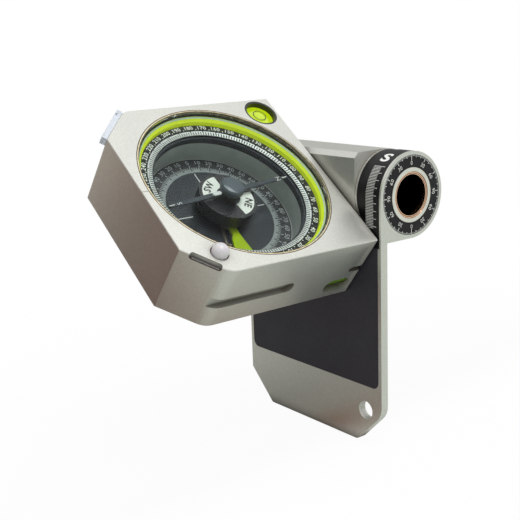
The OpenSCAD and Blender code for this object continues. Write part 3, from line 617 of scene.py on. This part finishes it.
# Pendulum, and the lever and sleeve of the needle brake: brass, cast or pressed, then tumbled,
# which leaves it dull and a little brown.
tumbled_brass = new_material("tumbled_brass", {"Metallic": 0.9})
tint(tumbled_brass, "#5c564b", "#716a5c", patch_mm=2)
grain(tumbled_brass, size_mm=0.3, strength=0.2, depth_mm=0.03, rough=(0.4, 0.55))
coat(tumbled_brass, "pendulum", "lift_lever", "lift_sleeve")

# Round level: green spirit in a polished glass vial with a domed top, set in a black cup. A
# black circle is printed on it. The spirit has a faint painted glow, a fixed emission.
green_spirit = new_material("green_spirit_in_glass", {
    "IOR": 1.36, "Roughness": 0.12, "Transmission Weight": 0.15, "Coat Weight": 0.6,
    "Coat Roughness": 0.03, "Emission Color": linear("#b4d400"), "Emission Strength": 0.35})
tint(green_spirit, "#a3b808", "#bccf10", patch_mm=4)
coat(green_spirit, "level_vial")
level_middle, dome_top, circle_radius = Vector((-32.1, 32.0)), 11.46, 2.5
level_circle = [[p + level_middle for p in polygon]
                for polygon in annulus(circle_radius, circle_radius + 0.3, step=12)]
printed("level_circle", "compass_case", black_print, level_circle, on_case(dome_top))

# Tube level: green spirit in a glass tube behind the side window. Its colour holds painted
# light and shade: bright where it faces up and nearly black green underneath, with a faint
# painted glow.
deep_spirit = new_material("green_spirit_in_tube", {
    "IOR": 1.36, "Roughness": 0.2, "Specular IOR Level": 0.2, "Coat Weight": 0.2,
    "Coat Roughness": 0.1, "Emission Color": linear("#7fae10"), "Emission Strength": 0.15})
place = add_node(deep_spirit, "ShaderNodeTexCoord")
upwards = add_node(deep_spirit, "ShaderNodeSeparateXYZ", {"Vector": place.outputs["Normal"]})
# Painted light and shade: the colour follows which way the surface faces, pale upwards, dark below.
spirit = add_node(deep_spirit, "ShaderNodeValToRGB", {"Fac": upwards.outputs["Z"]})
for element, position, hexcode in zip(spirit.color_ramp.elements, (0.2, 0.75),
                                      ("#2f4a12", "#9ac61c")):
    element.position, element.color = position, linear(hexcode)
join(deep_spirit, spirit.outputs["Color"], "Base Color")
coat(deep_spirit, "tube_vial")

# Lock button: white acetal, moulded, with a smooth rounded head. A little light gets under its
# skin, so its shade side stays soft.
white_acetal = new_material("white_acetal", {
    "IOR": 1.48, "Subsurface Weight": 0.15, "Subsurface Scale": 0.002})
tint(white_acetal, "#c9c6c8", "#d5d2d5", patch_mm=3)
grain(white_acetal, size_mm=0.5, strength=0.05, depth_mm=0.01, rough=(0.3, 0.4))
coat(white_acetal, "lock_pin")

# Clear strip along the left cut corner: translucent bluish plastic, sawn, polished and let
# into the case. Its inside is cloudy.
milky_plastic = new_material("milky_translucent_plastic", {"IOR": 1.5, "Transmission Weight": 0.4})
tint(milky_plastic, "#dfe7f1", "#ebf0f6", patch_mm=4)
grain(milky_plastic, size_mm=0.5, strength=0.08, depth_mm=0.02, rough=(0.3, 0.4))
coat(milky_plastic, "clear_strip")

# Index lines of the case: short engraved strokes at the middle of its sides, filled with grey,
# and with white on the right.
index_start, index_end = 37.3, 39.7
index_fill = new_material("grey_engraving", {"IOR": 1.5, "Roughness": 0.6})
tint(index_fill, "#6f6d66", "#817f78", patch_mm=0.5)
for name, fill, angle in (("case_index_front", index_fill, 270),
                          ("case_index_right", white_paint, 0)):
    printed(name, "compass_case", fill,
            [stroke(angle, index_start, index_end, 0.22)], on_case(case_face))

# Floor: plain white sheet that keeps the object's soft shadow near it, and is plain white
# further off. The metal mirrors it as grey paper with a brown band under the hinge.
floor_white = new_material("white_studio_floor", {"Roughness": 0.9})
path = add_node(floor_white, "ShaderNodeLightPath")
place = add_node(floor_white, "ShaderNodeTexCoord")
slant = add_node(floor_white, "ShaderNodeVectorMath", {
    0: place.outputs["Object"], 1: (1.0, 0.1, 0)}, operation="DOT_PRODUCT")
across = add_node(floor_white, "ShaderNodeMapRange", {
    "Value": slant.outputs["Value"], "From Min": -0.1, "From Max": 0.04})
tone = add_node(floor_white, "ShaderNodeValToRGB", {"Fac": across.outputs["Result"]})
for element, hexcode in zip(tone.color_ramp.elements, ("#ced0cb", "#dde3dc")):
    element.color = linear(hexcode)
for position, hexcode in ((0.5, "#989791"), (0.64, "#96928a"), (0.76, "#7c5541"),
                          (0.88, "#c3bdb6")):
    tone.color_ramp.elements.new(position).color = linear(hexcode)
join(floor_white, tone.outputs["Color"], "Base Color")
reach = add_node(floor_white, "ShaderNodeVectorMath", {
    0: place.outputs["Object"]}, operation="LENGTH")
seen = add_node(floor_white, "ShaderNodeMapRange", {
    "Value": reach.outputs["Value"], "From Min": 0.1, "From Max": 0.3,
    "To Min": 0.96, "To Max": 1.0})
straight = add_node(floor_white, "ShaderNodeMath", {
    0: path.outputs["Is Camera Ray"], 1: path.outputs["Is Transmission Ray"]}, operation="MAXIMUM")
to_eye = add_node(floor_white, "ShaderNodeMath", {
    0: straight.outputs["Value"], 1: seen.outputs["Result"]}, operation="MULTIPLY")
to_metal = add_node(floor_white, "ShaderNodeMath", {
    0: path.outputs["Is Glossy Ray"], 1: 0.95}, operation="MULTIPLY")
share = add_node(floor_white, "ShaderNodeMath", {
    0: to_eye.outputs["Value"], 1: to_metal.outputs["Value"]}, operation="MAXIMUM")
colour = add_node(floor_white, "ShaderNodeMixRGB", {
    "Fac": straight.outputs["Value"], "Color1": tone.outputs["Color"], "Color2": (1, 1, 1, 1)})
white = add_node(floor_white, "ShaderNodeEmission", {
    "Color": colour.outputs["Color"], "Strength": 1.0})
mixed = add_node(floor_white, "ShaderNodeMixShader", {
    0: share.outputs["Value"],
    1: floor_white.node_tree.nodes["Principled BSDF"].outputs["BSDF"],
    2: white.outputs["Emission"]})
join(floor_white, mixed.outputs["Shader"], "Surface", "Material Output")


def sheet(name, corners, material):
    """A flat piece of the studio: each four corners are one face of it."""
    mesh = bpy.data.meshes.new(name)
    mesh.from_pydata(corners, [], [tuple(range(i, i + 4)) for i in range(0, len(corners), 4)])
    mesh.materials.append(material)
    piece = bpy.data.objects.new(name, mesh)
    bpy.context.scene.collection.objects.link(piece)
    return piece


floor_level, floor_half = cad_low[2] - 0.0002, 4
sheet("floor", [(x * floor_half, y * floor_half, floor_level)
                for x, y in ((-1, -1), (1, -1), (1, 1), (-1, 1))], floor_white)

# Card beyond the front side of the case, 70 mm from it, with an apron on the floor: only the
# metal shows it. It fades from pale at its upper far part to brown at its lower near one, and
# has a nearly black red spot.
brown_card = new_material("brown_studio_card", {"Base Color": (0, 0, 0, 1), "Roughness": 1.0})
place = add_node(brown_card, "ShaderNodeTexCoord")
slant = add_node(brown_card, "ShaderNodeVectorMath", {
    0: place.outputs["Object"], 1: (0.76, 0, -0.65)}, operation="DOT_PRODUCT")
fade = add_node(brown_card, "ShaderNodeMapRange", {
    "Value": slant.outputs["Value"], "From Min": -0.132, "From Max": -0.095})
tone = add_node(brown_card, "ShaderNodeMixRGB", {
    "Fac": fade.outputs["Result"], "Color1": linear("#ece3d8"), "Color2": linear("#5e2c18")})
card_y = -0.17
spot_middle = (-0.154, card_y, -0.047)
spot = add_node(brown_card, "ShaderNodeVectorMath", {
    0: place.outputs["Object"], 1: spot_middle}, operation="DISTANCE")
edge = add_node(brown_card, "ShaderNodeMapRange", {
    "Value": spot.outputs["Value"], "From Min": 0.022, "From Max": 0.04})
spotted = add_node(brown_card, "ShaderNodeMixRGB", {
    "Fac": edge.outputs["Result"], "Color1": linear("#140402"), "Color2": tone.outputs["Color"]})
glow = add_node(brown_card, "ShaderNodeEmission", {
    "Color": spotted.outputs["Color"], "Strength": 1.0})
join(brown_card, glow.outputs["Emission"], "Surface", "Material Output")
foot, far, near = floor_level + 0.001, -0.6, 0.03
upright = [(far, card_y, foot), (near, card_y, foot), (near, card_y, 0.12), (far, card_y, 0.16)]
apron = [(far, card_y, foot), (far, -0.105, foot), (0.012, -0.128, foot), (0.024, card_y, foot)]
card = sheet("brown_card", upright + apron, brown_card)

# Card at the back left, grey and shown only by the metal too: it holds down the shine on top
# of the beam, which is seen at a low angle.
grey_card = new_material("grey_studio_card", {"Base Color": (0, 0, 0, 1), "Roughness": 1.0})
glow = add_node(grey_card, "ShaderNodeEmission", {"Color": linear("#b4b6b2"), "Strength": 1.0})
join(grey_card, glow.outputs["Emission"], "Surface", "Material Output")
left, back, back_top = (-0.5, -0.07), (0.03, 0.45), 0.3
back_card = sheet("grey_card", [(*left, foot), (*back, foot), (*back, back_top), (*left, back_top)],
                  grey_card)
for piece in (card, back_card):
    piece.visible_camera = piece.visible_diffuse = False
    piece.visible_shadow = piece.visible_transmission = False

# Room: white to the camera, in gloss and through glass, with a softer light on the object.
# One square softbox high over the right-hand side of the hinge gives the rest.
world = bpy.data.worlds.new("studio")
bpy.context.scene.world = world
world.use_nodes = True
path = add_node(world, "ShaderNodeLightPath")
straight = add_node(world, "ShaderNodeMath", {
    0: path.outputs["Is Camera Ray"], 1: path.outputs["Is Transmission Ray"]}, operation="MAXIMUM")
shown = add_node(world, "ShaderNodeMath", {
    0: straight.outputs["Value"], 1: path.outputs["Is Glossy Ray"]}, operation="MAXIMUM")
strength = add_node(world, "ShaderNodeMapRange", {
    "Value": shown.outputs["Value"], "To Min": 0.5, "To Max": 1.0})
world.node_tree.nodes["Background"].inputs["Color"].default_value = (1, 1, 1, 1)
join(world, strength.outputs["Result"], "Strength", "Background")

lamp = bpy.data.lights.new("key", "AREA")
lamp.shape, lamp.size, lamp.energy = "SQUARE", 0.6, 12.6
softbox = bpy.data.objects.new("key", lamp)
softbox.location = (0.55, 0.0, 1.18)
object_middle = Vector((0, -0.04, -0.02))
softbox.rotation_euler = (object_middle - softbox.location).to_track_quat("-Z", "Y").to_euler()
bpy.context.scene.collection.objects.link(softbox)

# Camera: a full-frame one, whose place, angle and focal length lay the corners of the case,
# the hinge and the plate where the photograph has them.
camera = bpy.data.objects.new("camera", bpy.data.cameras.new("camera"))
camera.data.sensor_width = 36
camera.data.lens = 66.508
camera.data.clip_start = 0.01
camera.location = (0.28352, -0.26211, 0.06079)
camera.rotation_euler = (radians(76.673), radians(1.971), radians(51.645))
bpy.context.scene.collection.objects.link(camera)
bpy.context.scene.camera = camera
bpy.context.scene.view_settings.view_transform = "Standard"
